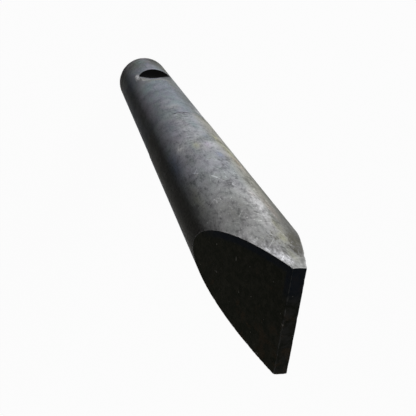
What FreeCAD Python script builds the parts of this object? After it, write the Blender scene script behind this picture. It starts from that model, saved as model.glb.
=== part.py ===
import FreeCAD
import Part
import Sketcher
import math
import os

# Wedge chisel for a hydraulic rock breaker: one forged and turned steel bar.
# It stands on its struck face. The origin is the centre of that face, +Z runs
# up the bar to the cutting edge, the retainer notch faces -Y, and the cutting
# edge lies along Y. The shank is the smooth turned part that the breaker's
# bushings guide, and the body is the rougher bar from there to the wedge.
# Lengths are millimetres and angles are degrees.

doc = FreeCAD.newDocument("breaker_wedge_chisel")

# Driving dimensions: name, value, what it measures
DIMENSIONS = [
    ("overall_length", 1200.0, "struck face to cutting edge"),
    ("shank_diameter", 135.0, "turned part that runs in the bushings"),
    ("shank_length", 575.0, "struck face to the shoulder"),
    ("body_diameter", 136.5, "bar from the shoulder to the wedge"),
    ("shoulder_run", 0.8, "length of the slope from shank to body"),
    ("struck_chamfer", 6.0, "45 degree chamfer round the struck face"),
    ("wedge_angle", 35.0, "angle between the two wedge faces"),
    ("edge_land", 16.0, "flat left across the cutting edge"),
    ("land_radius", 2.0, "rounding where the land meets a wedge face"),
    ("face_edge_break", 1.2, "rounding where a wedge face meets the bar"),
    ("notch_start", 162.0, "struck face to the near end of the notch"),
    ("notch_length", 112.0, "notch end to notch end, along the bar"),
    ("notch_depth", 12.5, "bar surface to notch floor"),
    ("notch_end_radius", 50.0, "run-out radius at each end of the notch"),
    ("notch_edge_radius", 2.0, "rounding round the rim of the notch"),
    ("cut_clearance", 5.0, "how far each cutting profile stands off the bar"),
]

sizes = doc.addObject("Spreadsheet::Sheet", "sizes")
for row, (name, value, note) in enumerate(DIMENSIONS, start=1):
    sizes.set("A%d" % row, name)
    sizes.set("B%d" % row, str(value))
    sizes.set("C%d" % row, note)
    sizes.setAlias("B%d" % row, name)
doc.recompute()


def size(name):
    return float(sizes.get(name))


def origin_plane(body, role):
    for feature in body.Origin.OriginFeatures:
        if feature.Role == role:
            return feature
    raise RuntimeError("no plane " + role)


def new_sketch(body, name, role):
    sketch = body.newObject("Sketcher::SketchObject", name)
    sketch.AttachmentSupport = [(origin_plane(body, role), "")]
    sketch.MapMode = "FlatFace"
    return sketch


def point(x, y):
    return FreeCAD.Vector(x, y, 0)


def add_loop(sketch, corners):
    """Draw a closed run of straight lines and join each to the next."""
    count = len(corners)
    for i in range(count):
        sketch.addGeometry(Part.LineSegment(corners[i], corners[(i + 1) % count]), False)
    for i in range(count):
        sketch.addConstraint(Sketcher.Constraint("Coincident", i, 2, (i + 1) % count, 1))


def measure(sketch, kind, name, where, start, expression):
    """Add a named dimension to a sketch and bind it to the sheet."""
    index = sketch.addConstraint(Sketcher.Constraint(kind, *where, start))
    sketch.renameConstraint(index, name)
    sketch.setExpression("Constraints." + name, expression)


ORIGIN = (-1, 1)
SHANK_RADIUS = "sizes.shank_diameter / 2"
BODY_RADIUS = "sizes.body_diameter / 2"

body = doc.addObject("PartDesign::Body", "wedge_chisel")
body.Label = "wedge_chisel"

# The bar: half of its long section, turned round the Z axis
shank_radius = size("shank_diameter") / 2
body_radius = size("body_diameter") / 2
shank_top = size("shank_length")
shoulder = size("shoulder_run")
bar_top = size("overall_length")
chamfer = size("struck_chamfer")

bar_section = new_sketch(body, "bar_section", "XZ_Plane")
add_loop(bar_section, [
    point(0, 0),
    point(shank_radius - chamfer, 0),
    point(shank_radius, chamfer),
    point(shank_radius, shank_top),
    point(body_radius, shank_top + shoulder),
    point(body_radius, bar_top),
    point(0, bar_top),
])
STRUCK_LINE, CHAMFER_LINE, SHANK_LINE, SHOULDER_LINE, BODY_LINE, TOP_LINE, AXIS_LINE = range(7)
bar_section.addConstraint(Sketcher.Constraint("Coincident", STRUCK_LINE, 1, *ORIGIN))
bar_section.addConstraint(Sketcher.Constraint("Horizontal", STRUCK_LINE))
bar_section.addConstraint(Sketcher.Constraint("Vertical", SHANK_LINE))
bar_section.addConstraint(Sketcher.Constraint("Vertical", BODY_LINE))
bar_section.addConstraint(Sketcher.Constraint("Horizontal", TOP_LINE))
bar_section.addConstraint(Sketcher.Constraint("Vertical", AXIS_LINE))
measure(bar_section, "DistanceX", "shank_radius", (*ORIGIN, SHANK_LINE, 1), shank_radius, SHANK_RADIUS)
measure(bar_section, "DistanceX", "body_radius", (*ORIGIN, BODY_LINE, 1), body_radius, BODY_RADIUS)
measure(bar_section, "DistanceY", "shank_length", (*ORIGIN, SHANK_LINE, 2), shank_top, "sizes.shank_length")
measure(bar_section, "DistanceY", "shoulder_run", (SHOULDER_LINE, 1, SHOULDER_LINE, 2),
        shoulder, "sizes.shoulder_run")
measure(bar_section, "DistanceY", "length", (*ORIGIN, TOP_LINE, 1), bar_top, "sizes.overall_length")
measure(bar_section, "DistanceX", "chamfer_width", (CHAMFER_LINE, 1, CHAMFER_LINE, 2),
        chamfer, "sizes.struck_chamfer")
measure(bar_section, "DistanceY", "chamfer_height", (CHAMFER_LINE, 1, CHAMFER_LINE, 2),
        chamfer, "sizes.struck_chamfer")

bar = body.newObject("PartDesign::Revolution", "bar")
bar.Profile = bar_section
bar.ReferenceAxis = (bar_section, ["V_Axis"])
bar.Angle = 360.0
bar_section.Visibility = False
doc.recompute()
bar_volume = bar.Shape.Volume

# The wedge: a triangle beside the land is cut right across the bar on the +X
# side, and the cut is mirrored to the -X side
half_land = size("edge_land") / 2
reach = body_radius + size("cut_clearance")
slope = math.tan(math.radians(size("wedge_angle") / 2))
REACH = "(" + BODY_RADIUS + " + sizes.cut_clearance)"
FACE_RUN = "(" + REACH + " - sizes.edge_land / 2) / tan(sizes.wedge_angle / 2)"

face_section = new_sketch(body, "face_section", "XZ_Plane")
add_loop(face_section, [
    point(half_land, bar_top),
    point(reach, bar_top),
    point(reach, bar_top - (reach - half_land) / slope),
])
ABOVE_LINE, OUTER_LINE, FACE_LINE = range(3)
face_section.addConstraint(Sketcher.Constraint("Horizontal", ABOVE_LINE))
face_section.addConstraint(Sketcher.Constraint("Vertical", OUTER_LINE))
measure(face_section, "DistanceX", "half_land", (*ORIGIN, ABOVE_LINE, 1),
        half_land, "sizes.edge_land / 2")
measure(face_section, "DistanceY", "edge_height", (*ORIGIN, ABOVE_LINE, 1),
        bar_top, "sizes.overall_length")
measure(face_section, "DistanceX", "reach", (*ORIGIN, ABOVE_LINE, 2), reach, REACH)
measure(face_section, "DistanceY", "face_run", (OUTER_LINE, 2, OUTER_LINE, 1),
        (reach - half_land) / slope, FACE_RUN)

wedge_face = body.newObject("PartDesign::Pocket", "wedge_face")
wedge_face.Profile = face_section
wedge_face.Type = "ThroughAll"
wedge_face.Midplane = True
face_section.Visibility = False
doc.recompute()
one_face_volume = wedge_face.Shape.Volume

both_faces = body.newObject("PartDesign::Mirrored", "both_faces")
both_faces.Originals = [wedge_face]
both_faces.MirrorPlane = (origin_plane(body, "YZ_Plane"), [""])
body.Tip = both_faces
doc.recompute()
both_faces_volume = both_faces.Shape.Volume

# The retainer notch: a flat floor with a run-out arc at each end, cut square
# across the -Y side of the shank so that the retainer pin lies along X
floor_y = -(shank_radius - size("notch_depth"))
end_radius = size("notch_end_radius")
arc_run = math.sqrt(end_radius ** 2 - (end_radius - size("notch_depth")) ** 2)
floor_start = size("notch_start") + arc_run
floor_end = size("notch_start") + size("notch_length") - arc_run
above = size("notch_depth") + size("cut_clearance")
rise = math.acos((end_radius - above) / end_radius)

ARC_RUN = ("sqrt(sizes.notch_end_radius ^ 2"
           " - (sizes.notch_end_radius - sizes.notch_depth) ^ 2)")
FLOOR_DISTANCE = SHANK_RADIUS + " - sizes.notch_depth"
STAND_OFF = SHANK_RADIUS + " + sizes.cut_clearance"
FLOOR_START = "sizes.notch_start + " + ARC_RUN
FLOOR_LENGTH = "sizes.notch_length - 2 * " + ARC_RUN

notch_section = new_sketch(body, "notch_section", "YZ_Plane")
arc_centre_y = floor_y - end_radius
arc_depth = arc_centre_y + end_radius * math.cos(rise)
arc_reach = end_radius * math.sin(rise)
lower_centre = point(arc_centre_y, floor_start)
upper_centre = point(arc_centre_y, floor_end)
along = FreeCAD.Vector(0, 0, 1)
FLOOR, UPPER_ARC, OUTSIDE, LOWER_ARC = range(4)
notch_section.addGeometry(Part.LineSegment(point(floor_y, floor_start), point(floor_y, floor_end)), False)
notch_section.addGeometry(Part.ArcOfCircle(Part.Circle(upper_centre, along, end_radius), 0, rise), False)
notch_section.addGeometry(Part.LineSegment(point(arc_depth, floor_end + arc_reach),
                                           point(arc_depth, floor_start - arc_reach)), False)
notch_section.addGeometry(Part.ArcOfCircle(Part.Circle(lower_centre, along, end_radius), -rise, 0), False)
notch_section.addConstraint(Sketcher.Constraint("Tangent", FLOOR, 2, UPPER_ARC, 1))
notch_section.addConstraint(Sketcher.Constraint("Coincident", UPPER_ARC, 2, OUTSIDE, 1))
notch_section.addConstraint(Sketcher.Constraint("Coincident", OUTSIDE, 2, LOWER_ARC, 1))
notch_section.addConstraint(Sketcher.Constraint("Tangent", LOWER_ARC, 2, FLOOR, 1))
notch_section.addConstraint(Sketcher.Constraint("Vertical", FLOOR))
notch_section.addConstraint(Sketcher.Constraint("Vertical", OUTSIDE))
notch_section.addConstraint(Sketcher.Constraint("Equal", UPPER_ARC, LOWER_ARC))
measure(notch_section, "DistanceX", "floor_distance", (FLOOR, 1, *ORIGIN), -floor_y, FLOOR_DISTANCE)
measure(notch_section, "DistanceY", "floor_start", (*ORIGIN, FLOOR, 1), floor_start, FLOOR_START)
measure(notch_section, "DistanceY", "floor_length", (FLOOR, 1, FLOOR, 2),
        floor_end - floor_start, FLOOR_LENGTH)
measure(notch_section, "DistanceX", "stand_off", (OUTSIDE, 1, *ORIGIN), -arc_depth, STAND_OFF)
measure(notch_section, "Radius", "end_radius", (UPPER_ARC,), end_radius, "sizes.notch_end_radius")

retainer_notch = body.newObject("PartDesign::Pocket", "retainer_notch")
retainer_notch.Profile = notch_section
retainer_notch.Type = "ThroughAll"
retainer_notch.Midplane = True
notch_section.Visibility = False
doc.recompute()
notch_volume = retainer_notch.Shape.Volume


def edges_where(shape, wanted):
    """Names of the edges that pass a test of the edge and its middle point."""
    names = []
    for index, edge in enumerate(shape.Edges, start=1):
        middle = edge.valueAt((edge.FirstParameter + edge.LastParameter) / 2)
        if wanted(edge, middle):
            names.append("Edge%d" % index)
    return names


NEAR = 0.01
notch_low = size("notch_start") - NEAR
notch_high = size("notch_start") + size("notch_length") + NEAR


def on_round(spot, radius):
    return abs(math.hypot(spot.x, spot.y) - radius) < NEAR


def is_notch_rim(edge, middle):
    box = edge.BoundBox
    return on_round(middle, shank_radius) and box.ZMin > notch_low and box.ZMax < notch_high


def is_land_edge(edge, middle):
    return edge.BoundBox.ZMin > bar_top - NEAR and abs(abs(middle.x) - half_land) < NEAR


def is_face_rim(edge, middle):
    box = edge.BoundBox
    return on_round(middle, body_radius) and box.ZMax > bar_top - NEAR and box.ZMin < bar_top - NEAR


def round_edges(name, base, wanted, radius_name):
    """Round the chosen edges of the last feature with a radius from the sheet."""
    names = edges_where(base.Shape, wanted)
    if not names:
        raise RuntimeError("no edges found for " + name)
    fillet = body.newObject("PartDesign::Fillet", name)
    fillet.Base = (base, names)
    fillet.Radius = size(radius_name)
    fillet.setExpression("Radius", "sizes." + radius_name)
    doc.recompute()
    return fillet


# Broken edges: the notch rim, the two long edges of the land, and the curved
# edges where the wedge faces run out into the round bar
notch_rim = round_edges("notch_rim", retainer_notch, is_notch_rim, "notch_edge_radius")
land_edges = round_edges("land_edges", notch_rim, is_land_edge, "land_radius")
face_rims = round_edges("face_rims", land_edges, is_face_rim, "face_edge_break")
body.Tip = face_rims
doc.recompute()

# Each step must have taken material away, and nothing may have failed
volumes = [bar_volume, one_face_volume, both_faces_volume, notch_volume, face_rims.Shape.Volume]
for before, after in zip(volumes, volumes[1:]):
    if not after < before:
        raise RuntimeError("a cut removed nothing")
for item in doc.Objects:
    if "Invalid" in item.State or "Error" in item.State:
        raise RuntimeError("failed: " + item.Name)

sub_parts = [body]
for sub_part in sub_parts:
    shape = sub_part.Shape
    if shape.isNull() or not shape.isValid() or len(shape.Solids) != 1:
        raise RuntimeError("bad shape: " + sub_part.Label)

os.makedirs("parts", exist_ok=True)
for sub_part in sub_parts:
    sub_part.Shape.exportStep("parts/" + sub_part.Label + ".step")
    print(sub_part.Label, round(sub_part.Shape.Volume / 1e6, 3), "litres")
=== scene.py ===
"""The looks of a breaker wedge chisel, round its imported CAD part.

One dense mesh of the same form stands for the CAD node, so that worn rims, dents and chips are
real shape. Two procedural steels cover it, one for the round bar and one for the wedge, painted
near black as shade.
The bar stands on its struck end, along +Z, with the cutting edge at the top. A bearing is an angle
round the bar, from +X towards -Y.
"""
import math
import random

import bmesh
import bpy
import numpy as np
from mathutils import Matrix, Vector, geometry, kdtree, noise


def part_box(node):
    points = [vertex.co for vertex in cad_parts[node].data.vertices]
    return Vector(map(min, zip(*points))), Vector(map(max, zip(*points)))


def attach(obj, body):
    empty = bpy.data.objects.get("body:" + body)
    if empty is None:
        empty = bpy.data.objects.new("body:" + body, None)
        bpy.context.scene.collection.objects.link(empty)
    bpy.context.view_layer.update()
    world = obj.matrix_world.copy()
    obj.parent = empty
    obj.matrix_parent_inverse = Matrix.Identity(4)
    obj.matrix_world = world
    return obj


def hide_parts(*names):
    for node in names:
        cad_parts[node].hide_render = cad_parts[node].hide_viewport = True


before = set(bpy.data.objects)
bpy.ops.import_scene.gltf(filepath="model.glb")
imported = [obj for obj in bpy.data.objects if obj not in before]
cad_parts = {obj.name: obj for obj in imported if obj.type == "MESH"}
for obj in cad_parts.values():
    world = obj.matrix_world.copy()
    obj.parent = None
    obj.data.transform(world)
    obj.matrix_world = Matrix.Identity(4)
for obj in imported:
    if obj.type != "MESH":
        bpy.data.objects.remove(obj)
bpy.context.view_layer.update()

NODE = "wedge_chisel"
MM = 0.001
QUARTER, HALF, FULL = math.pi / 2, math.pi, 2 * math.pi

# Driving sizes of the part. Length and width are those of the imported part.
BOX_LOW, BOX_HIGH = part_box(NODE)
LENGTH = BOX_HIGH.z - BOX_LOW.z
BODY_RADIUS = (BOX_HIGH.x - BOX_LOW.x) / 2
SHOULDER_DEPTH = 0.75 * MM
SHANK_RADIUS = BODY_RADIUS - SHOULDER_DEPTH
STRUCK_CHAMFER = 6 * MM
SHOULDER_AT = 575 * MM
SHOULDER_RUN = 0.8 * MM
HALF_LAND = 8 * MM
WEDGE_HALF_ANGLE = math.radians(35 / 2)
NOTCH_START = 162 * MM
NOTCH_LENGTH = 112 * MM
NOTCH_DEPTH = 12.5 * MM
NOTCH_END_RADIUS = 50 * MM

# Sizes that follow from them. A swing is an angle from the middle of a wedge face.
WEDGE_SLOPE = math.tan(WEDGE_HALF_ANGLE)
LAND_SWING = math.acos(HALF_LAND / BODY_RADIUS)
LAND_END_SWING = QUARTER - LAND_SWING
LAND_HALF_WIDTH = BODY_RADIUS * math.sin(LAND_SWING)
WEDGE_START = LENGTH - (BODY_RADIUS - HALF_LAND) / WEDGE_SLOPE
STRUCK_RADIUS = SHANK_RADIUS - STRUCK_CHAMFER
NOTCH_FLOOR = SHANK_RADIUS - NOTCH_DEPTH
NOTCH_MIDDLE = NOTCH_START + NOTCH_LENGTH / 2
NOTCH_RUN_OUT = math.sqrt(NOTCH_END_RADIUS**2 - (NOTCH_END_RADIUS - NOTCH_DEPTH) ** 2)
NOTCH_HALF_FLAT = NOTCH_LENGTH / 2 - NOTCH_RUN_OUT

# Spacing of the mesh points.
RIM_STEP = 1.9 * MM
RIM_ROWS = (1.0 * MM, 2.3 * MM)
STRUCK_STEP = 4.0 * MM
CHAMFER_STEP = 2.0 * MM
SHANK_STEP = 4.2 * MM
NOTCH_STEP = 2.2 * MM
SHOULDER_STEPS = (2.0 * MM, 2.2 * MM)
BODY_STEP = 3.0 * MM
WEDGE_SIDE_STEP = 2.1 * MM
FACE_STEP = 2.2 * MM
LAND_STEP = 2.0 * MM
LEAST_ACROSS = 2.0 * MM
FINER_BEFORE = 14 * MM

# How near the mesh points may come to a rim and to each other. The first three are shares of a
# row's gap or of the spacing.
ROW_INSIDE = 0.1
ROW_CLEAR_OF_RIM = 0.93
CLEAR_OF_RIM = 0.72
ROW_SPACING = 0.9 * MM
POINT_INSIDE = 0.1 * MM
FACE_INSIDE = 0.02 * MM
WELD = 0.02 * MM

# Points along a curve before it is divided evenly.
RIM_SAMPLES = 4001
HALF_NOTCH_SAMPLES = 2001


def bar_radius(z):
    """Radius of the turned bar at height z, with its struck chamfer and its shoulder."""
    heights = [0, STRUCK_CHAMFER, SHOULDER_AT, SHOULDER_AT + SHOULDER_RUN]
    return np.interp(z, heights, [STRUCK_RADIUS, SHANK_RADIUS, SHANK_RADIUS, BODY_RADIUS])


def half_thickness(z):
    """Half the thickness of the wedge at height z."""
    return HALF_LAND + (LENGTH - z) * WEDGE_SLOPE


def notch_bottom(z):
    """Distance of the notch's bottom from the bar's axis at height z, run-outs included."""
    beyond = np.clip(np.abs(z - NOTCH_MIDDLE) - NOTCH_HALF_FLAT, 0, NOTCH_END_RADIUS)
    return NOTCH_FLOOR + NOTCH_END_RADIUS - np.sqrt(NOTCH_END_RADIUS**2 - beyond**2)


def rows_of(*columns):
    """Points, one to a row, from their coordinates."""
    return np.stack(np.broadcast_arrays(*columns), axis=-1).astype(float)


def rolled(flat):
    """Points in space from points of the unrolled bar: the way round from +Y, and the height."""
    turn = flat[:, 0] / BODY_RADIUS
    radius = bar_radius(flat[:, 1])
    return rows_of(-radius * np.sin(turn), radius * np.cos(turn), flat[:, 1])


def evenly(curve, step):
    """The same curve with its points about one step apart."""
    along = np.r_[0, np.cumsum(np.linalg.norm(np.diff(curve, axis=0), axis=1))]
    count = max(round(along[-1] / step), 2)
    where = np.linspace(0, along[-1], count + 1)
    return rows_of(*[np.interp(where, along, axis) for axis in curve.T])


def staggered(stations, steps, start, stop):
    """Rows of points between the stations, each second row shifted by half a step."""
    made = []
    for low, high, step in zip(stations[:-1], stations[1:], steps):
        count = max(round((high - low) / step), 1)
        across = round((stop - start) / max(step, LEAST_ACROSS))
        for height in np.linspace(low, high, count, endpoint=False):
            shift = len(made) % 2 / 2
            row = start + (np.arange(across) + shift) * (stop - start) / across
            row = np.unique(np.round(np.r_[start, row, stop], 9))
            made.append(rows_of(row, height))
    return np.concatenate(made)


def nearest(points, others):
    """Distance of each point from the nearest of the others."""
    tree = kdtree.KDTree(len(others))
    for index, other in enumerate(others):
        tree.insert(Vector((*other, 0, 0)[:3]), index)
    tree.balance()
    return np.array([tree.find(Vector((*point, 0, 0)[:3]))[2] for point in points])


def uncrowded(points, gap):
    """The points in their order, without those that share a square of that size with another."""
    squares = np.round(points / gap).astype(int)
    _, first = np.unique(squares, axis=0, return_index=True)
    return points[np.sort(first)]


def beside(rim, gap):
    """Points at that gap from a rim, on both sides of it."""
    run = np.gradient(rim, axis=0)
    across = rows_of(-run[:, 1], run[:, 0]) / np.linalg.norm(run, axis=1)[:, None]
    return np.concatenate([rim + gap * across, rim - gap * across])


def patch(rims, grid, steps, lift, room):
    """Points in space and triangles of one surface that opens out flat.

    rims are pairs of a flat row of points and the same row in space. steps is the spacing of
    the grid at each of its points, room says how far inside the surface a flat point is, and
    lift puts the points between the rims in space.
    """
    rim_points = np.concatenate([flat for flat, _ in rims])
    taken = rim_points
    for gap in RIM_ROWS:
        row = np.concatenate([beside(flat, gap) for flat, _ in rims])
        row = row[room(row) > ROW_INSIDE * gap]
        row = row[nearest(row, rim_points) > ROW_CLEAR_OF_RIM * gap]
        taken = np.concatenate([taken, uncrowded(row, ROW_SPACING)])
    free = (room(grid) > POINT_INSIDE) & (nearest(grid, taken) > CLEAR_OF_RIM * steps)
    flat_points = np.concatenate([taken, grid[free]])
    between = flat_points[len(rim_points):]
    solid_points = np.concatenate([solid for _, solid in rims] + [lift(between)])
    edges = []
    start = 0
    for flat, _ in rims:
        edges += [(start + k, start + k + 1) for k in range(len(flat) - 1)]
        start += len(flat)
    cut = geometry.delaunay_2d_cdt([Vector(p) for p in flat_points], edges, [], 0, WELD / 10)
    source = np.array([came_from[0] for came_from in cut[3]])
    triangles = source[np.array(cut[2])]
    middles = flat_points[triangles].mean(axis=1)
    return solid_points, triangles[room(middles) > FACE_INSIDE]


def wedge_rim(middle):
    """Rim of the wedge face whose middle is at that turn, on the unrolled bar."""
    swing = np.linspace(-LAND_SWING, LAND_SWING, RIM_SAMPLES)
    height = LENGTH - (BODY_RADIUS * np.cos(swing) - HALF_LAND) / WEDGE_SLOPE
    rim = evenly(rows_of((middle + swing) * BODY_RADIUS, height), RIM_STEP)
    rim[[0, -1], 1] = LENGTH
    return rim


def level_rim(start, stop, height, step):
    """Level line round the unrolled bar from one turn to another."""
    count = max(round((stop - start) * BODY_RADIUS / step), 2)
    return rows_of(np.linspace(start, stop, count + 1) * BODY_RADIUS, height)


def notch_rim():
    """Closed rim of the retainer notch, on the unrolled bar."""
    along = np.linspace(0, HALF, HALF_NOTCH_SAMPLES)
    height = NOTCH_MIDDLE - NOTCH_LENGTH / 2 * np.cos(along)
    swing = np.arccos(np.clip(notch_bottom(height) / SHANK_RADIUS, 0, 1))
    one_side = rows_of((HALF + swing) * BODY_RADIUS, height)
    other_side = rows_of((HALF - swing) * BODY_RADIUS, height)[::-1]
    rim = evenly(np.concatenate([one_side, other_side]), RIM_STEP)
    rim[-1] = rim[0]
    return rim


def land_end_turns():
    """Turns between which the round of the bar ends at the land, cut where the bar unrolls."""
    ends = [(0, LAND_END_SWING), (HALF - LAND_END_SWING, HALF + LAND_END_SWING)]
    return ends + [(FULL - LAND_END_SWING, FULL)]


def with_space(flat):
    """A rim of the unrolled bar, paired with the same rim in space."""
    return flat, rolled(flat)


def round_side():
    """The bar's round side, from the struck chamfer to the cutting edge."""
    stations = [
        (STRUCK_CHAMFER + 1 * MM, CHAMFER_STEP),
        (STRUCK_CHAMFER + 4 * MM, SHANK_STEP),
        (NOTCH_START - FINER_BEFORE, NOTCH_STEP),
        (NOTCH_START + NOTCH_LENGTH + FINER_BEFORE, SHANK_STEP),
        (SHOULDER_AT - 1.5 * MM, SHOULDER_STEPS[0]),
        (SHOULDER_AT, SHOULDER_RUN),
        (SHOULDER_AT + SHOULDER_RUN, SHOULDER_STEPS[1]),
        (SHOULDER_AT + 3 * MM, BODY_STEP),
        (WEDGE_START - FINER_BEFORE, WEDGE_SIDE_STEP),
        (LENGTH - 1 * MM, 1 * MM),
    ]
    heights, steps = zip(*stations)
    grid = staggered([*heights, LENGTH], steps, 0, FULL * BODY_RADIUS)
    spacing = np.interp(grid[:, 1], heights, steps)
    rims = [with_space(wedge_rim(middle)) for middle in (QUARTER, 3 * QUARTER)]
    for start, stop in land_end_turns():
        rims.append(with_space(level_rim(start, stop, LENGTH, LAND_STEP)))
    rims.append(with_space(level_rim(0, FULL, STRUCK_CHAMFER, RIM_STEP)))
    rims.append(with_space(notch_rim()))

    def room(flat):
        x, y, z = rolled(flat).T
        cuts = np.minimum(half_thickness(z) - np.abs(x), notch_bottom(z) + y)
        return np.minimum(cuts, np.minimum(z - STRUCK_CHAMFER, LENGTH - z))

    return patch(rims, grid, spacing, rolled, room)


def wedge_face(side):
    """The flat of the wedge on that side, 1 for +X and -1 for -X, from the rim to the land."""
    rim = rolled(wedge_rim(HALF + side * QUARTER))
    fall = math.cos(WEDGE_HALF_ANGLE)
    edge = land_edge(side)

    def opened(solid):
        return rows_of(solid[:, 1], (LENGTH - solid[:, 2]) / fall)

    def lift(flat):
        z = LENGTH - flat[:, 1] * fall
        return rows_of(side * half_thickness(z), flat[:, 0], z)

    def room(flat):
        thickness = half_thickness(LENGTH - flat[:, 1] * fall)
        return np.minimum(BODY_RADIUS - np.hypot(thickness, flat[:, 0]), flat[:, 1])

    reach = (LENGTH - WEDGE_START) / fall
    grid = staggered([0, reach], [FACE_STEP], -BODY_RADIUS, BODY_RADIUS)
    rims = [(opened(rim), rim), (opened(edge), edge)]
    return patch(rims, grid, FACE_STEP, lift, room)


def land_edge(side):
    """Straight edge between the land and the wedge face on that side."""
    count = round(2 * LAND_HALF_WIDTH / LAND_STEP)
    across = np.linspace(-LAND_HALF_WIDTH, LAND_HALF_WIDTH, count + 1)
    return rows_of(side * HALF_LAND, across, LENGTH)


def land():
    """The narrow flat that is the cutting edge, with the bar's round at both ends."""
    turns = land_end_turns()
    rims = [rolled(level_rim(start, stop, LENGTH, LAND_STEP)) for start, stop in turns]
    rims += [land_edge(1), land_edge(-1)]

    def lift(flat):
        return rows_of(flat[:, 0], flat[:, 1], LENGTH)

    def room(flat):
        sides = HALF_LAND - np.abs(flat[:, 0])
        return np.minimum(sides, BODY_RADIUS - np.hypot(flat[:, 0], flat[:, 1]))

    grid = staggered([-BODY_RADIUS, BODY_RADIUS], [LAND_STEP], -HALF_LAND, HALF_LAND)
    return patch([(rim[:, :2], rim) for rim in rims], grid, LAND_STEP, lift, room)


def notch():
    """The retainer notch's floor, with the run-outs at its ends, laid out along its length."""
    height = np.linspace(-NOTCH_LENGTH / 2, NOTCH_LENGTH / 2, RIM_SAMPLES) + NOTCH_MIDDLE
    run = np.hypot(np.diff(height), np.diff(notch_bottom(height)))
    along = np.r_[0, np.cumsum(run)]
    rim = rolled(notch_rim())

    def opened(solid):
        return rows_of(solid[:, 0], np.interp(solid[:, 2], height, along))

    def lift(flat):
        z = np.interp(flat[:, 1], along, height)
        return rows_of(flat[:, 0], -notch_bottom(z), z)

    def room(flat):
        z = np.interp(flat[:, 1], along, height)
        return SHANK_RADIUS - np.hypot(flat[:, 0], notch_bottom(z))

    grid = staggered([0, along[-1]], [NOTCH_STEP], -SHANK_RADIUS, SHANK_RADIUS)
    return patch([(opened(rim), rim)], grid, NOTCH_STEP, lift, room)


def struck_chamfer():
    """The chamfer round the struck face."""
    slant = math.sqrt(2)
    width = STRUCK_CHAMFER * slant
    rims = []
    for height in (0, STRUCK_CHAMFER):
        flat = level_rim(0, FULL, height, RIM_STEP)
        rims.append((flat * [1, slant], rolled(flat)))

    def lift(flat):
        return rolled(flat / [1, slant])

    def room(flat):
        return np.minimum(flat[:, 1], width - flat[:, 1])

    grid = staggered([0, width], [CHAMFER_STEP], 0, FULL * BODY_RADIUS)
    return patch(rims, grid, CHAMFER_STEP, lift, room)


def struck_face():
    """The flat face that the hammer's piston strikes."""
    rim = rolled(level_rim(0, FULL, 0, RIM_STEP))

    def lift(flat):
        return rows_of(flat[:, 0], flat[:, 1], 0)

    def room(flat):
        return STRUCK_RADIUS - np.hypot(flat[:, 0], flat[:, 1])

    reach = STRUCK_RADIUS
    grid = staggered([-reach, reach], [STRUCK_STEP], -reach, reach)
    return patch([(rim[:, :2], rim)], grid, STRUCK_STEP, lift, room)


def welded(patches):
    """One closed mesh of all patches, as a bmesh."""
    skin = bmesh.new()
    for points, triangles in patches:
        corners = [skin.verts.new(point) for point in points]
        for triangle in triangles:
            skin.faces.new([corners[index] for index in triangle])
    bmesh.ops.remove_doubles(skin, verts=skin.verts, dist=WELD)
    loose = [corner for corner in skin.verts if not corner.link_faces]
    bmesh.ops.delete(skin, geom=loose, context="VERTS")
    bmesh.ops.recalc_face_normals(skin, faces=skin.faces)
    return skin


# Wear. Radii are in millimetres, and a slope is a hollow's depth as a share of its radius.
SEED = 41
RIM_SOFTENING = 0.55
RIM_TOUCH = 0.03 * MM
FACE_TOUCH = 0.05 * MM
WAVE_DEPTH = 0.16 * MM
WAVE_SCALE = 16
PITTING_DEPTH = 0.20 * MM
PITTING_SCALE = 190
PITTED_HEIGHTS = (500 * MM, 900 * MM)
RANDOM_DENTS = 130
DENT_RADII = (2.5, 9)
DENT_SLOPES = (0.03, 0.08)
HIGHEST_DENT, DENT_REACH, DENT_CROWDING = 1190, 1150, 1.6
RIM_CHIPS = 60
CHIP_RADII = (1.6, 4.5)
CHIP_SLOPES = (0.04, 0.10)
RIM_POINT_STEP = 0.4 * MM
LAND_END_POINTS = 120
SEED_SHIFTS = (3.7, 1.9, 2.3)

# Dents that show: bearing in degrees, then height, radius and depth in millimetres.
SEEN_DENTS = (
    (67, 550, 3.5, 0.7),
    (104, 1104, 9, 0.7),
    (112, 1128, 7, 0.8),
    (101, 1150, 6, 0.7),
    (108, 1168, 8, 0.9),
    (97, 1182, 5, 0.7),
    (114, 1086, 6, 0.6),
    (52, 700, 4, 0.5),
    (75, 842, 5, 0.5),
)


def at_bearing(bearing, height):
    """Point on the bar's round side, from its bearing in degrees and height in millimetres."""
    angle = math.radians(bearing)
    radius = float(bar_radius(height * MM))
    return Vector((radius * math.cos(angle), -radius * math.sin(angle), height * MM))


def rims_in_space():
    """Every worn rim as points close together."""
    step = RIM_POINT_STEP
    rims = [rolled(evenly(wedge_rim(turn), step)) for turn in (QUARTER, 3 * QUARTER)]
    rims.append(rolled(evenly(notch_rim(), step)))
    rims += [evenly(land_edge(side), step) for side in (-1, 1)]
    turns = np.linspace(0, FULL, round(FULL * BODY_RADIUS / step)) * BODY_RADIUS
    rims += [rolled(rows_of(turns, height)) for height in (0, STRUCK_CHAMFER)]
    for middle in (0, HALF):
        swing = np.linspace(-1, 1, LAND_END_POINTS) * LAND_END_SWING
        rims.append(rolled(rows_of((middle + swing) * BODY_RADIUS, LENGTH)))
    return np.concatenate(rims)


def value_noise(points, scale, seed):
    """Smooth noise from -1 to 1 at each point; the seed moves it."""
    shift = Vector([seed * step for step in SEED_SHIFTS])
    return np.array([noise.noise(Vector(point) * scale + shift) for point in points])


def hollow(points, centre, radius):
    """A bowl, 1 at its centre and 0 from its radius on."""
    gap = np.linalg.norm(points - np.array(centre), axis=1) / radius
    return np.clip(1 - gap**2, 0, 1) ** 2


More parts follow.
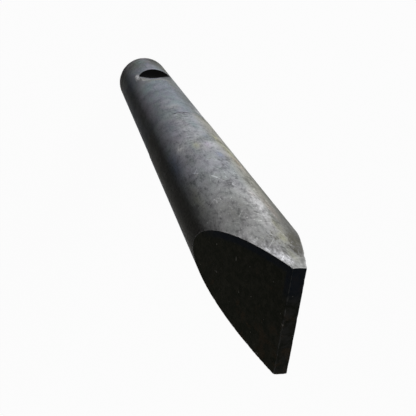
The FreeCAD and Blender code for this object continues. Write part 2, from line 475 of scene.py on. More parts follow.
def inward_wear(points, rim_points):
    """How far each point of the skin lies below its first form, in metres.

    Waves and pits come first, then the dents that show, other dents, which crowd towards the
    cutting edge, and chips along the rims.
    """
    chance = random.Random(SEED)
    wave = value_noise(points, WAVE_SCALE, 1) + 0.5 * value_noise(points, 3 * WAVE_SCALE, 2)
    depth = WAVE_DEPTH * (0.5 + 0.33 * wave)
    pits = np.clip(value_noise(points, PITTING_SCALE, 3) - 0.15, 0, 1)
    depth += PITTING_DEPTH * pits * np.interp(points[:, 2], PITTED_HEIGHTS, (0.15, 1.0))
    for bearing, height, radius, deep in SEEN_DENTS:
        depth += deep * MM * hollow(points, at_bearing(bearing, height), radius * MM)
    for _ in range(RANDOM_DENTS):
        bearing = chance.uniform(0, 360)
        height = HIGHEST_DENT - DENT_REACH * chance.random() ** DENT_CROWDING
        radius = chance.uniform(*DENT_RADII)
        deep = radius * chance.uniform(*DENT_SLOPES)
        depth += deep * MM * hollow(points, at_bearing(bearing, height), radius * MM)
    for _ in range(RIM_CHIPS):
        centre = rim_points[chance.randrange(len(rim_points))]
        radius = chance.uniform(*CHIP_RADII)
        deep = radius * chance.uniform(*CHIP_SLOPES)
        depth += deep * MM * hollow(points, centre, radius * MM)
    return np.clip(depth, 0, None)


def soften_rims(skin, on_rim):
    """Moves the corners on a rim towards the middle of their neighbours, unevenly, as worn."""
    places = {}
    for corner in skin.verts:
        if not on_rim[corner.index]:
            continue
        beyond = [edge.other_vert(corner).co for edge in corner.link_edges]
        middle = sum(beyond, Vector()) / len(beyond)
        share = RIM_SOFTENING * (1 + 0.5 * noise.noise(corner.co * 90))
        places[corner] = corner.co.lerp(middle, share)
    for corner, place in places.items():
        corner.co = place


def on_wedge(place):
    """Whether a point of the first form lies on a wedge face or on the land."""
    return abs(place.x) > half_thickness(place.z) - FACE_TOUCH or place.z > LENGTH - FACE_TOUCH


# Where the painted shadow at the notch's lower end ends: millimetres across, and height. It fades
# out there, leaves a faint tail of painted shade above, and reaches a little over the notch's rim.
NOTCH_SHADOW_ACROSS = (-38, -19, -4, 8, 20, 38)
NOTCH_SHADOW_HEIGHT = (184, 192, 204, 211, 212, 206)
NOTCH_SHADOW_FADE = 6 * MM
NOTCH_SHADOW_OVER_RIM = 1.4 * MM
SHADOW_TAIL_REACH = 40 * MM
SHADOW_TAIL_STRENGTH = 0.2


def notch_shadow(points):
    """How strongly painted shadow darkens the notch at its lower end, where the run-out lies in
    shade.
    """
    x, y, z = points.T
    inside_notch = np.clip(1.5 - (notch_bottom(z) + y) / NOTCH_SHADOW_OVER_RIM, 0, 1)
    ragged = 3 * value_noise(points, 130, 5) + 2 * value_noise(points, 300, 6)
    top = (np.interp(x / MM, NOTCH_SHADOW_ACROSS, NOTCH_SHADOW_HEIGHT) + ragged) * MM
    thick = np.clip((top - z) / NOTCH_SHADOW_FADE + 0.5, 0, 1)
    shadow_tail = SHADOW_TAIL_STRENGTH * np.clip((top - z) / SHADOW_TAIL_REACH + 1, 0, 1)
    return inside_notch * np.maximum(thick, shadow_tail)


# How far wear reaches from a rim, on the shank and above it.
RIM_WEAR_REACH = (3.4 * MM, 2.8 * MM)

# Marks that show: bearing in degrees, height, half length along the bar and half width in
# millimetres, strength.
# Scuffs, and painted highlights: the glint at the notch's corner and the light streak along the
# brow near the tip.
SEEN_SCUFFS_AND_HIGHLIGHTS = (
    (128, 535, 28, 20, 0.6),
    (49, 762, 15, 6.5, 0.75),
    (51, 886, 7, 4, 0.7),
    (97, 1008, 40, 9, 0.6),
    (94, 1052, 30, 8, 0.95),
    (66, 1118, 14, 5, 0.35),
    (48, 192, 34, 7, 1.0),
    (76, 254, 9, 24, 0.4),
)
SEEN_STAINS = (
    (116, 1112, 40, 12, 0.6),
    (106, 1128, 20, 8, 0.4),
    (108, 1160, 18, 7, 0.45),
    (100, 1156, 16, 7, 0.4),
    (87, 1128, 18, 9, 0.35),
    (105, 1124, 9, 4, 0.45),
    (94, 1150, 7, 3.5, 0.55),
    (98, 1160, 9, 4, 0.6),
    (102, 1140, 7, 4, 0.35),
    (52, 828, 20, 8, 0.3),
    (67, 550, 3, 3, 0.7),
    (124, 110, 50, 16, 0.6),
    (119, 594, 16, 3.5, 0.8),
)
# Bared steel near the cutting edge, and a painted glint at the notch's corner.
SEEN_BARED_AND_GLINT = (
    (84, 1180, 12, 6, 0.9),
    (78, 1166, 12, 5, 0.9),
    (73, 1150, 14, 4, 0.6),
    (67, 1130, 14, 3, 0.35),
    (49, 190, 22, 5, 1.0),
)
SEEN_RINGS = (
    (84, 588, 30, 19, 1.0),
    (76, 535, 24, 22, 0.35),
    (77, 648, 46, 10, 0.9),
    (68, 728, 36, 7, 0.7),
    (118, 600, 40, 9, 0.4),
)
SEEN_CURLS = (
    (72, 885, 50, 18, 1.0),
    (62, 960, 30, 16, 0.7),
    (84, 960, 40, 10, 0.5),
    (66, 1050, 50, 20, 0.7),
)

# Tinges on the bar: colour, and the marks where it shows. The shade tinge is painted shade, the
# soot tinge is partly painted shade, and the pale tinge is partly painted light.
TINGES = {
    # Pale patches, and painted light on the darker side of the shank near the struck end.
    "pale": ((0.46, 0.46, 0.47), (
        (86, 765, 70, 26, 0.9),
        (74, 660, 50, 12, 0.5),
        (66, 500, 60, 26, 0.4),
        (83, 1116, 26, 6, 0.8),
        (26, 110, 42, 26, 1.0),
        (6, 100, 46, 30, 1.0),
        (82, 100, 26, 16, 0.5),
        (28, 320, 100, 17, 1.0),
        (28, 480, 80, 17, 1.0),
        (53, 765, 44, 12, 1.0),
        (2, 228, 60, 7, 1.0),
        (46, 308, 34, 8, 0.9),
        (78, 528, 18, 12, 1.0),
    )),
    "dull": ((0.23, 0.232, 0.228), (
        (64, 1028, 30, 12, 1.0),
        (78, 1042, 34, 6, 1.0),
        (66, 1065, 30, 10, 0.6),
        (76, 1128, 16, 9, 0.6),
        (103, 1090, 26, 7, 0.5),
        (58, 842, 20, 9, 0.5),
        (62, 920, 30, 12, 0.3),
    )),
    "teal": ((0.27, 0.345, 0.36), (
        (48, 330, 45, 13, 1.0),
        (60, 336, 26, 9, 0.8),
        (70, 62, 30, 10, 0.7),
        (70, 288, 26, 14, 0.6),
        (80, 38, 14, 16, 0.5),
        (86, 490, 48, 14, 0.7),
        (88, 663, 26, 7, 0.9),
        (66, 775, 20, 6, 0.5),
    )),
    "navy": ((0.18, 0.225, 0.33), (
        (24, 205, 80, 9, 0.7),
        (34, 108, 32, 14, 0.6),
        (31, 800, 55, 12, 1.0),
        (82, 92, 22, 14, 0.5),
        (94, 730, 14, 6, 0.5),
        (95, 830, 16, 6, 0.8),
        (52, 640, 40, 10, 0.4),
    )),
    "purple": ((0.38, 0.335, 0.43), (
        (87, 775, 20, 5, 0.9),
        (34, 480, 60, 9, 0.9),
        (33, 340, 60, 9, 0.8),
        (56, 700, 40, 9, 0.5),
        (46, 860, 60, 8, 0.5),
        (90, 120, 24, 10, 0.4),
    )),
    "yellow": ((0.36, 0.36, 0.22), (
        (73, 774, 18, 7, 0.8),
        (111, 732, 26, 6, 1.0),
        (116, 792, 30, 6, 1.0),
        (36, 940, 50, 9, 0.4),
        (100, 1090, 22, 5, 1.0),
        (95, 1128, 14, 6, 0.9),
        (92, 1168, 14, 5, 0.7),
    )),
    "shade": ((0.11, 0.112, 0.104), (
        (132, 880, 90, 9, 0.8),
        (124, 1010, 80, 14, 1.0),
        (122, 1110, 60, 20, 1.0),
        (132, 1060, 110, 12, 0.8),
        (98, 1190, 8, 5, 0.6),
    )),
    "tan": ((0.27, 0.262, 0.20), (
        (85, 276, 10, 34, 1.0),
        (60, 232, 24, 15, 1.0),
        (106, 311, 20, 6, 0.6),
    )),
    # Soot, and painted shade on the bar's right side towards the tip and on the struck end's side
    # facing the key lamp.
    "soot_and_painted_shade": ((0.04, 0.04, 0.037), (
        (131, 1090, 110, 14, 1.0),
        (134, 950, 100, 10, 0.9),
        (113, 1084, 34, 9, 0.7),
        (118, 1128, 20, 7, 0.9),
        (106, 1158, 20, 8, 1.0),
        (100, 1184, 12, 5, 0.7),
        (116, 40, 28, 26, 1.0),
        (100, 36, 20, 12, 0.4),
    )),
    "orange": ((0.46, 0.36, 0.28), (
        (117, 845, 26, 6, 0.9),
        (98, 996, 14, 4, 0.5),
        (110, 1030, 34, 5, 0.5),
    )),
}

# Pale strokes scraped into the bar: from and to as bearing and height, half width, strength.
SEEN_STROKES = (
    ((67, 912), (71, 924), 1.4, 0.8),
    ((71, 924), (73, 932), 0.8, 0.55),
    ((73, 932), (77, 945), 0.5, 0.3),
    ((48, 872), (54, 884), 0.8, 0.8),
    ((49, 880), (55, 868), 0.8, 0.6),
    ((63, 858), (74, 848), 0.5, 0.3),
    ((74, 848), (86, 849), 0.5, 0.3),
    ((68, 897), (83, 890), 0.5, 0.35),
    ((65, 908), (62, 930), 0.5, 0.35),
    ((84, 954), (83, 959), 0.8, 0.8),
    ((45, 993), (54, 985), 0.6, 0.35),
    ((54, 985), (66, 993), 0.6, 0.35),
)


def spots(points, seen):
    """How strongly each point is marked by the spots that are listed."""
    x, y, z = points.T
    bearings = np.degrees(np.arctan2(-y, x))
    total = np.zeros(len(points))
    for bearing, height, half_length, half_width, strength in seen:
        round_gap = np.radians((bearings - bearing + 180) % 360 - 180) * BODY_RADIUS
        size = (round_gap / (half_width * MM)) ** 2 + ((z - height * MM) / (half_length * MM)) ** 2
        total += strength * np.exp(-size)
    return np.clip(total, 0, 1)


def chisel():
    """The whole chisel as one mesh object, worn, with its marks as attributes of its points."""
    patches = [round_side(), wedge_face(1), wedge_face(-1), land(), notch()]
    patches += [struck_chamfer(), struck_face()]
    skin = welded(patches)
    skin.verts.index_update()
    points = np.array([corner.co for corner in skin.verts])
    rim_points = rims_in_space()
    rim_gap = nearest(points, rim_points)
    wear = inward_wear(points, rim_points)
    for face in skin.faces:
        face.material_index = int(on_wedge(face.calc_center_median()))
    soften_rims(skin, rim_gap < RIM_TOUCH)
    skin.normal_update()
    for corner in skin.verts:
        corner.co -= corner.normal * wear[corner.index]
    mesh = bpy.data.meshes.new("chisel")
    skin.to_mesh(mesh)
    skin.free()
    marks = {
        "rim": np.exp(-rim_gap / np.where(points[:, 2] < SHOULDER_AT, *RIM_WEAR_REACH)),
        "scuff_and_highlight": spots(points, SEEN_SCUFFS_AND_HIGHLIGHTS),
        "stain": spots(points, SEEN_STAINS),
        "bared_and_glint": spots(points, SEEN_BARED_AND_GLINT),
        "rings": spots(points, SEEN_RINGS),
        "curls": spots(points, SEEN_CURLS),
        "painted_notch_shadow": notch_shadow(points),
    }
    marks |= {name: spots(points, seen) for name, (_, seen) in TINGES.items()}
    for name, values in marks.items():
        mark = mesh.attributes.new(name, "FLOAT", "POINT")
        mark.data.foreach_set("value", values.astype(np.float32))
    mesh.shade_smooth()
    piece = bpy.data.objects.new("chisel", mesh)
    bpy.context.scene.collection.objects.link(piece)
    return piece


# Gloss and fine relief of both steels. The backdrop would shine white at a grazing angle, so
# there is little gloss.
BAR_SPECULAR = 0.008
WEDGE_SPECULAR = 0.03
WEDGE_ROUGHNESS = 0.75
RELIEF_STRENGTH = 0.35
RELIEF_DEPTH = 0.35 * MM


class Recipe:
    """Adds nodes to one material and links them, so that its recipe reads from top to bottom."""

    def __init__(self, name):
        self.material = bpy.data.materials.new(name)
        self.material.use_nodes = True
        self.nodes = self.material.node_tree.nodes
        self.links = self.material.node_tree.links
        self.shader = self.nodes["Principled BSDF"]
        self.output = self.nodes["Material Output"]

    def add(self, kind, inputs, **settings):
        """A node of that kind, with its settings and its inputs by name or number."""
        node = self.nodes.new("ShaderNode" + kind)
        for name, value in settings.items():
            setattr(node, name, value)
        for name, value in inputs.items():
            if isinstance(value, bpy.types.NodeSocket):
                self.links.new(value, node.inputs[name])
            else:
                node.inputs[name].default_value = value
        return node

    def place(self, stretch=(1, 1, 1)):
        """Place on the object in metres, with each axis multiplied."""
        place = self.add("TexCoord", {}).outputs["Object"]
        return self.add("VectorMath", {0: place, 1: stretch}, operation="MULTIPLY").outputs[0]

    def noise(self, scale, detail=4, roughness=0.55, stretch=(1, 1, 1), warp=0):
        """Noise whose features are about 1/scale metres wide."""
        inputs = {"Vector": self.place(stretch), "Scale": scale, "Detail": detail}
        inputs |= {"Roughness": roughness, "Distortion": warp}
        return self.add("TexNoise", inputs).outputs["Fac"]

    def mark(self, name):
        """Value of one of the mesh's own attributes."""
        return self.add("Attribute", {}, attribute_name=name).outputs["Fac"]

    def level(self, value, low, high, to_low=0, to_high=1):
        """The value carried smoothly from one range to another, and held there."""
        names = ("Value", "From Min", "From Max", "To Min", "To Max")
        inputs = dict(zip(names, (value, low, high, to_low, to_high)))
        return self.add("MapRange", inputs, interpolation_type="SMOOTHSTEP").outputs["Result"]

    def swing(self, pattern, low, high):
        """The usual values of a noise carried to a range, and held there."""
        return self.level(pattern, 0.3, 0.7, low, high)

    def sum_of(self, first, second, operation="ADD"):
        """Two values joined by a sum, or by the operation that is named."""
        return self.add("Math", {0: first, 1: second}, operation=operation).outputs[0]

    def both(self, first, second):
        """Product of two values."""
        return self.sum_of(first, second, "MULTIPLY")

    def side(self, bearing, full, none):
        """1 on the bar's skin within some degrees of a bearing, 0 beyond some more."""
        flat = self.add("VectorMath", {0: self.place((1, 1, 0))}, operation="NORMALIZE").outputs[0]
        angle = math.radians(bearing)
        inputs = {0: flat, 1: (math.cos(angle), -math.sin(angle), 0)}
        near = self.add("VectorMath", inputs, operation="DOT_PRODUCT").outputs["Value"]
        return self.level(near, math.cos(math.radians(none)), math.cos(math.radians(full)))

    def ragged(self, name, pattern, breakup):
        """One of the mesh's marks, its edge broken up by a pattern."""
        broken = self.sum_of(self.mark(name), self.swing(pattern, -breakup, breakup))
        return self.level(broken, 0.15, 0.85)

    def worn_rim(self, pattern, most, low, high):
        """1 on the worn rims and 0 elsewhere, with a pattern that breaks up their edge."""
        return self.level(self.sum_of(self.mark("rim"), self.swing(pattern, -0.3, most)), low, high)

    def between(self, value, rise, top, end, fall):
        """1 from top to end, and 0 before the rise and after the fall."""
        up = self.level(value, rise, top)
        down = self.level(value, fall, end)
        return self.level(self.both(up, down), 0, 1)

    def curls(self, scale, half_width):
        """Thin broken curling lines, where a noise passes its middle value."""
        bend = self.noise(scale, detail=1, stretch=(1, 1, 0.6), warp=0.8)
        off = self.sum_of(self.sum_of(bend, -0.5), 0, "ABSOLUTE")
        line = self.level(off, half_width, half_width / 3)
        return self.both(line, self.level(self.noise(2 * scale, detail=2), 0.45, 0.6))

    def stroke(self, place, start, stop, half_width):
        """A thin straight line on the skin between two points, 1 along its middle."""
        run = stop - start
        share = tuple(run / run.length_squared)
        from_start = self.add("VectorMath", {0: place, 1: tuple(start)}, operation="SUBTRACT")
        inputs = {0: from_start.outputs[0], 1: share}
        along = self.add("VectorMath", inputs, operation="DOT_PRODUCT").outputs["Value"]
        along = self.add("Clamp", {"Value": along}).outputs[0]
        foot = self.add("VectorMath", {0: tuple(run), "Scale": along}, operation="SCALE")
        inputs = {0: from_start.outputs[0], 1: foot.outputs[0]}
        gap = self.add("VectorMath", inputs, operation="DISTANCE").outputs["Value"]
        return self.level(gap, 1.6 * half_width, 0.5 * half_width)

    def scratches(self, lean, scale):
        """Short thin lines on the bar's skin that lean from its axis by some degrees."""
        split = self.add("SeparateXYZ", {0: self.place()}).outputs
        way = self.both(self.sum_of(split["Y"], split["X"], "ARCTAN2"), BODY_RADIUS)
        flat = self.add("CombineXYZ", {0: way, 1: split["Z"], 2: 0.0}).outputs[0]
        turn = {"Vector": flat, "Angle": math.radians(lean)}
        turned = self.add("VectorRotate", turn, rotation_type="Z_AXIS").outputs[0]
        thin = self.add("VectorMath", {0: turned, 1: (1, 0.05, 1)}, operation="MULTIPLY").outputs[0]
        inputs = {"Vector": thin, "Scale": scale, "Detail": 1.0}
        streak = self.add("TexNoise", inputs).outputs["Fac"]
        return self.level(streak, 0.70, 0.76)

    def blend(self, factor, first, second, kind="MIX"):
        """Two colours mixed by a factor."""
        inputs = {"Fac": factor, "Color1": colour(first), "Color2": colour(second)}
        return self.add("MixRGB", inputs, blend_type=kind).outputs["Color"]

    def relief(self, height):
        """Roughens the surface by a fine relief."""
        inputs = {"Height": height, "Strength": RELIEF_STRENGTH, "Distance": RELIEF_DEPTH}
        bump = self.add("Bump", inputs)
        self.links.new(bump.outputs["Normal"], self.shader.inputs["Normal"])


def colour(value):
    """A colour with its alpha, or a socket as it is."""
    return value if isinstance(value, bpy.types.NodeSocket) else (*value, 1)


# Colours of the round bar.
SHANK_COLOUR = (0.245, 0.272, 0.315)
BODY_COLOUR = (0.345, 0.365, 0.395)
TIP_COLOUR = (0.41, 0.412, 0.41)
STRUCK_END_COLOUR = (0.128, 0.135, 0.127)
PURPLE_TINGE = (0.35, 0.315, 0.375)
GREEN_TINGE = (0.29, 0.345, 0.315)
# Painted shade with a warm tint, on the side turned from the key lamp.
WARM_SHADE_TINGE = (0.20, 0.19, 0.155)
# Painted tint of the light on the side towards the key lamp; on the shank it is darker, as painted
# shade.
OLIVE_LIGHT_TINT = (0.30, 0.29, 0.225)
SHANK_OLIVE_SHADE = (0.15, 0.155, 0.145)
# Painted shade on the side turned from the key lamp.
PAINTED_SHADE_COLOUR = (0.055, 0.055, 0.052)
STAIN_COLOUR = (0.115, 0.112, 0.095)
# Pale scuffs, partly painted highlights.
SCUFF_AND_HIGHLIGHT_COLOUR = (0.54, 0.54, 0.545)
# Bared steel, and a painted glint.
BARED_AND_GLINT_COLOUR = (0.86, 0.865, 0.90)
WORN_COLOUR = (0.72, 0.72, 0.725)
# Painted shadow in the notch's lower end.
NOTCH_SHADOW_COLOUR = (0.004, 0.004, 0.004)

# Colours of the wedge, whose faces and land are painted near black as shade, with rust, specks and
# worn rims.
SHADE_BLACK_COLOURS = ((0.011, 0.0125, 0.008), (0.044, 0.043, 0.032))
RUST_COLOUR = (0.062, 0.046, 0.030)
LAND_COLOUR = (0.036, 0.037, 0.041)
SPECK_COLOUR = (0.20, 0.19, 0.17)
BLUED_COLOUR = (0.009, 0.013, 0.022)
WORN_BLACK_COLOUR = (0.20, 0.195, 0.185)

# Sides of the bar: bearing, and the degrees from it to where the side is full and has ended.
# Painted warm shade.
WARM_SHADE_SIDE = (4, 8, 26)
# Painted shade, darkest at this bearing.
PAINTED_SHADE_SIDE = (9, 3, 21)
# Painted light tint, and painted shade on the shank.
OLIVE_LIGHT_AND_SHADE_SIDE = (124, 6, 30)
DULL_RIM_SIDE = (135, 20, 45)

# Heights over which the bar's steel changes.
STRUCK_END = (150 * MM, 75 * MM)
# Heights over which the painted shade on that side grows from weak to full.
PAINTED_SHADE_RISE = (120 * MM, 260 * MM)
ROUGHER_SKIN = (500 * MM, 880 * MM)
BODY_START = (560 * MM, 590 * MM)
SCRATCHED = (620 * MM, 800 * MM)
LESS_HUE = (760 * MM, 1000 * MM)
FLECKED = (780 * MM, 1020 * MM)
TIP_START = (820 * MM, 1060 * MM)
# Heights over which the painted light tint and shade fade.
LESS_OLIVE_LIGHT_AND_SHADE = (960 * MM, 1080 * MM)

# Painted highlight and painted shadow of the shoulder's small step: height where each starts, and
# how much lighter it is.
SHOULDER_HIGHLIGHT_AND_SHADOW = ((563 * MM, 0.30), (575 * MM, -0.35))

# Fine scratches: lean from the bar's axis in degrees, and scale of their noise.
SCRATCHES = ((32, 408), (-48, 264), (80, 312))
CURL_SCALE = 38
CURL_HALF_WIDTH = 0.014

# Bands of the wedge, from where each is empty to where it is full: heights, and places along Y.
RUSTED_TIP = (1100 * MM, 1195 * MM)
LAND_BAND = (LENGTH - 1.7 * MM, LENGTH - 1.1 * MM)
RUSTED_SIDE = (-10 * MM, 35 * MM)
BLUED_SIDE = (-18 * MM, -45 * MM)


def bar_colour(r, height, mottle, fine):
    """Colour of the round bar before its fine tone: zones, tinges, stains, scuffs, painted light
    and shade.
    """
    hue = r.noise(45, detail=3, stretch=(1, 1, 0.4), warp=0.6)
    body = r.level(height, *BODY_START)
    bar = r.blend(body, SHANK_COLOUR, BODY_COLOUR)
    bar = r.blend(r.level(height, *TIP_START), bar, TIP_COLOUR)
    bar = r.blend(r.level(height, *STRUCK_END), bar, STRUCK_END_COLOUR)
    hue_share = r.level(height, *LESS_HUE, 0.36, 0.12)
    bar = r.blend(r.both(r.level(hue, 0.45, 0.62), hue_share), bar, PURPLE_TINGE)
    bar = r.blend(r.both(r.level(hue, 0.52, 0.36), hue_share), bar, GREEN_TINGE)
    # Painted warm shade on the side turned from the key lamp, stronger on the body.
    bar = r.blend(r.both(r.side(*WARM_SHADE_SIDE), r.level(body, 0, 1, 0.35, 0.75)), bar, WARM_SHADE_TINGE)
    # Painted tint of the light towards the key lamp, and painted shade on the shank there.
    olive_light_and_shade = r.blend(body, SHANK_OLIVE_SHADE, OLIVE_LIGHT_TINT)
    olive_light_and_shade_share = r.level(height, *LESS_OLIVE_LIGHT_AND_SHADE, 0.65, 0.2)
    bar = r.blend(r.both(r.side(*OLIVE_LIGHT_AND_SHADE_SIDE), olive_light_and_shade_share), bar, olive_light_and_shade)
    for name, (tinge, _) in TINGES.items():
        bar = r.blend(r.both(r.mark(name), r.swing(mottle, 0.35, 0.75)), bar, tinge)
    # Painted shade on the side turned from the key lamp, weaker near the struck end.
    painted_shade_share = r.level(height, *PAINTED_SHADE_RISE, 0.05, 0.4)
    bar = r.blend(r.both(r.side(*PAINTED_SHADE_SIDE), painted_shade_share), bar, PAINTED_SHADE_COLOUR)
    specked = r.sum_of(r.both(mottle, 0.4), r.both(fine, 0.6))
    bar = r.blend(r.ragged("stain", specked, 0.6), bar, STAIN_COLOUR)
    # Pale scuffs and painted highlights.
    bar = r.blend(r.ragged("scuff_and_highlight", fine, 0.15), bar, SCUFF_AND_HIGHLIGHT_COLOUR)
    # Bared steel, and a painted glint at the notch's corner.
    return r.blend(r.ragged("bared_and_glint", specked, 0.22), bar, BARED_AND_GLINT_COLOUR)


def bar_tone(r, height, mottle, fine):
    """Light and dark of the round bar's skin, about 1: blotches, rings, scratches, and a painted
    highlight and shadow at the shoulder.
    """
    rough_skin = r.level(height, *ROUGHER_SKIN)
    tone = r.sum_of(r.swing(r.noise(28, detail=4), -0.15, 0.15), 1)
    for pattern, on_shank, on_body in ((mottle, 0.11, 0.28), (fine, 0.17, 0.20)):
        strength = r.level(rough_skin, 0, 1, on_shank, on_body)
        tone = r.sum_of(tone, r.both(r.level(pattern, 0.32, 0.68, -1, 1), strength))
    rings = r.mark("rings")
    turned = r.noise(62, detail=4, roughness=0.6, stretch=(1, 1, 4.5))
    dashes = r.both(r.level(turned, 0.36, 0.64, -1, 1), r.level(rings, 0, 1, 0.05, 0.40))
    tone = r.sum_of(tone, dashes)
    # Painted highlight and shadow along the shoulder's step.
    for low, shade in SHOULDER_HIGHLIGHT_AND_SHADOW:
        line = r.between(height, low, low + 2 * MM, low + 5 * MM, low + 7 * MM)
        shown = r.both(line, r.level(r.sum_of(rings, turned), 0.45, 1.1))
        tone = r.sum_of(tone, r.both(shown, shade))
    curls = r.curls(CURL_SCALE, CURL_HALF_WIDTH)
    tone = r.sum_of(tone, r.both(curls, r.level(r.mark("curls"), 0, 1, 0.06, 0.6)))
    scratched = r.level(height, *SCRATCHED, 0.15, 0.45)
    for lean, scale in SCRATCHES:
        tone = r.sum_of(tone, r.both(r.scratches(lean, scale), scratched))
    flecks = r.level(r.noise(330, detail=1, stretch=(1, 1, 0.45)), 0.66, 0.75)
    flecked = r.both(flecks, r.level(r.mark("scuff_and_highlight"), 0.1, 0.6, 1, 0.3))
    tone = r.sum_of(tone, r.both(flecked, r.level(height, *FLECKED, 0.1, 0.65)))
    place = r.place()
    for start, stop, half_width, strength in SEEN_STROKES:
        line = r.stroke(place, at_bearing(*start), at_bearing(*stop), half_width * MM)
        tone = r.sum_of(tone, r.both(line, strength))
    return tone


def bar_steel():
    """Forged steel of the round bar: turned shank, scuffed body, stained and scraped tip, with
    painted light and shade and a painted shadow in the notch.
    """
    r = Recipe("bar_steel")
    height = r.add("SeparateXYZ", {0: r.place()}).outputs["Z"]
    mottle = r.noise(110, detail=3, roughness=0.6, stretch=(1, 1, 0.36), warp=0.5)
    fine = r.noise(340, detail=3, roughness=0.65, stretch=(1, 1, 0.4))
    grain = r.noise(900, detail=3, roughness=0.7)
    bar = bar_colour(r, height, mottle, fine)
    bar = r.blend(1, bar, bar_tone(r, height, mottle, fine), "MULTIPLY")
    rim_share = r.level(r.side(*DULL_RIM_SIDE), 0, 1, 0.8, 0.25)
    rim_share = r.both(rim_share, r.level(r.mark("tan"), 0.1, 0.8, 1, 0.2))
    bar = r.blend(r.both(r.worn_rim(mottle, 0.15, 0.35, 0.85), rim_share), bar, WORN_COLOUR)
    # Painted shadow, near black and rougher, at the notch's lower end.
    bar = r.blend(r.mark("painted_notch_shadow"), bar, NOTCH_SHADOW_COLOUR)
    r.links.new(bar, r.shader.inputs["Base Color"])
    roughness = r.sum_of(r.swing(mottle, 0.58, 0.72), r.both(r.mark("painted_notch_shadow"), 0.3))
    r.links.new(roughness, r.shader.inputs["Roughness"])
    r.shader.inputs["Specular IOR Level"].default_value = BAR_SPECULAR
    r.relief(r.sum_of(r.both(grain, 0.35), r.sum_of(fine, mottle)))
    return r.material


def wedge_steel():
    """Steel of the wedge faces and the land, painted near black as shade, with specks and traces of
    rust.
    """
    r = Recipe("wedge_steel")
    place = r.add("SeparateXYZ", {0: r.place()}).outputs
    height = place["Z"]
    mottle = r.noise(120, detail=6, roughness=0.62, warp=0.4)
    grain = r.noise(900, detail=3, roughness=0.7)
    # The wedge faces and the land are painted near black as shade.
    black = r.blend(r.level(mottle, 0.35, 0.7), *SHADE_BLACK_COLOURS)
    rusted_side = r.level(place["Y"], *RUSTED_SIDE, -0.04, 0.06)
    rusted = r.sum_of(r.level(height, *RUSTED_TIP, -0.04, 0.04), rusted_side)
    rusted = r.sum_of(r.noise(48, detail=6, roughness=0.65), rusted)
    rust = r.both(r.level(rusted, 0.575, 0.66), r.level(grain, 0.35, 0.6))
    black = r.blend(rust, black, RUST_COLOUR)
    on_land = r.both(r.level(height, *LAND_BAND), r.level(mottle, 0.35, 0.65, 0.05, 0.5))
    black = r.blend(on_land, black, LAND_COLOUR)
    specks = r.level(r.noise(170, detail=0.5), 0.775, 0.80)
    black = r.blend(specks, black, SPECK_COLOUR)
    blued = r.both(r.level(r.mark("rim"), 0.004, 0.08), r.level(place["Y"], *BLUED_SIDE))
    black = r.blend(r.both(blued, 0.7), black, BLUED_COLOUR)
    worn_rim = r.worn_rim(mottle, 0.1, 0.55, 0.95)
    black = r.blend(r.both(worn_rim, 0.3), black, WORN_BLACK_COLOUR)
    r.links.new(black, r.shader.inputs["Base Color"])
    r.shader.inputs["Roughness"].default_value = WEDGE_ROUGHNESS
    r.shader.inputs["Specular IOR Level"].default_value = WEDGE_SPECULAR
    r.relief(r.sum_of(r.both(grain, 0.35), mottle))
    return r.material


# Camera that sees the bar as the photograph does.
CAMERA_PLACE = Vector((0.25645, -0.36495, 1.73286))
CAMERA_AIM = Vector((0.03218, -0.01997, 0.93243))
CAMERA_UP = Vector((0.01211, -0.91703, -0.39863))
SENSOR = 36
LENS = 53.935
CLIP = (0.01, 50)


def camera():
    """The scene's camera, at the photograph's viewing angle."""
    seen = bpy.data.cameras.new("camera")
    seen.sensor_width = SENSOR
    seen.lens = LENS
    seen.clip_start, seen.clip_end = CLIP
    eye = bpy.data.objects.new("camera", seen)
    ahead = (CAMERA_AIM - CAMERA_PLACE).normalized()
    right = ahead.cross(CAMERA_UP).normalized()
    up = right.cross(ahead)
    turn = Matrix((right, up, -ahead)).transposed().to_4x4()
    eye.matrix_world = Matrix.Translation(CAMERA_PLACE) @ turn
    bpy.context.scene.collection.objects.link(eye)
    bpy.context.scene.camera = eye


# Brightness of the backdrop and the floor to the eye, and of what they send to the chisel.
BACKDROP = 0.966
AMBIENT = 0.008
FLOOR_GLOW = 0.96
FLOOR_PAINT = 0.95
FLOOR_BOUNCE = 0.14
WHITE = (1, 1, 1, 1)

# Size of the floor in metres, and how far it lies under the struck face.
FLOOR_HALF_WIDTH = 20
FLOOR_BELOW = 0.2 * MM

# Lamps: name, place, what it is aimed at, width and height, and power in watts.
LAMPS = (
    ("key", (-1.88, -3.53, 0.6), (0, 0, 0.6), (1.6, 0.9), 146),
    ("back", (0.28, 3.98, 0.6), (0, 0, 0.6), (1.8, 0.9), 52),
    ("top", (0.3, 0.2, 4.2), (0, 0, 1.2), (1.5, 1.5), 19),
)


def lamp(name, place, aim, size, power):
    """A soft rectangular lamp, aimed at a point."""
    light = bpy.data.lights.new(name, "AREA")
    light.shape = "RECTANGLE"
    light.size, light.size_y = size
    light.energy = power
    lit = bpy.data.objects.new(name, light)
    lit.location = place
    lit.rotation_mode = "QUATERNION"
    lit.rotation_quaternion = (Vector(aim) - Vector(place)).to_track_quat("-Z", "Y")
    lit.visible_camera = False
    bpy.context.scene.collection.objects.link(lit)


def seen_directly(nodes, links):
    """1 where a camera, glossy or transmitted ray arrives, and 0 for the light that spreads."""
    path = nodes.new("ShaderNodeLightPath")
    most = path.outputs["Is Camera Ray"]
    for name in ("Is Glossy Ray", "Is Transmission Ray"):
        join = nodes.new("ShaderNodeMath")
        join.operation = "MAXIMUM"
        links.new(most, join.inputs[0])
        links.new(path.outputs[name], join.inputs[1])
        most = join.outputs[0]
    return most


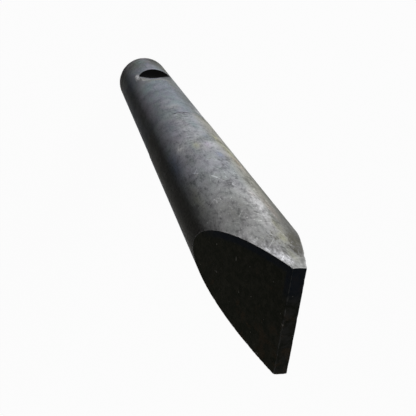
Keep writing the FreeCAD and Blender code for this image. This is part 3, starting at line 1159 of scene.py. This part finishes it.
def floor():
    """A plain pale floor under the struck end, which keeps the chisel's shadow."""
    half = FLOOR_HALF_WIDTH
    plane = bpy.data.meshes.new("floor")
    corners = [(-half, -half, 0), (half, -half, 0), (half, half, 0), (-half, half, 0)]
    plane.from_pydata(corners, [], [(0, 1, 2, 3)])
    ground = bpy.data.objects.new("floor", plane)
    ground.location.z = -FLOOR_BELOW
    bpy.context.scene.collection.objects.link(ground)
    r = Recipe("floor")
    direct = seen_directly(r.nodes, r.links)
    paint = r.blend(direct, (FLOOR_BOUNCE,) * 3, (FLOOR_PAINT,) * 3)
    r.links.new(paint, r.shader.inputs["Base Color"])
    r.shader.inputs["Roughness"].default_value = 1.0
    r.shader.inputs["Specular IOR Level"].default_value = 0.0
    glow = r.add("Emission", {"Color": WHITE, "Strength": 1.0}).outputs[0]
    share = r.sum_of(direct, FLOOR_GLOW, "MULTIPLY")
    both = r.add("MixShader", {0: share, 1: r.shader.outputs[0], 2: glow})
    r.links.new(both.outputs[0], r.output.inputs["Surface"])
    plane.materials.append(r.material)


def surroundings():
    """A white backdrop to the eye, and a dim even light on the chisel."""
    world = bpy.data.worlds.new("studio")
    bpy.context.scene.world = world
    world.use_nodes = True
    nodes, links = world.node_tree.nodes, world.node_tree.links
    dim = nodes["Background"]
    dim.inputs["Color"].default_value = WHITE
    dim.inputs["Strength"].default_value = AMBIENT
    white = nodes.new("ShaderNodeBackground")
    white.inputs["Color"].default_value = WHITE
    white.inputs["Strength"].default_value = BACKDROP
    mix = nodes.new("ShaderNodeMixShader")
    links.new(seen_directly(nodes, links), mix.inputs[0])
    links.new(dim.outputs[0], mix.inputs[1])
    links.new(white.outputs[0], mix.inputs[2])
    links.new(mix.outputs[0], nodes["World Output"].inputs["Surface"])


def studio():
    """Floor, backdrop, lamps and colour handling."""
    floor()
    surroundings()
    for name, place, aim, size, power in LAMPS:
        lamp(name, place, aim, size, power)
    bpy.context.scene.view_settings.view_transform = "Standard"


piece = chisel()
piece.data.materials.append(bar_steel())
piece.data.materials.append(wedge_steel())
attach(piece, "root")
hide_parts(NODE)
studio()
camera()
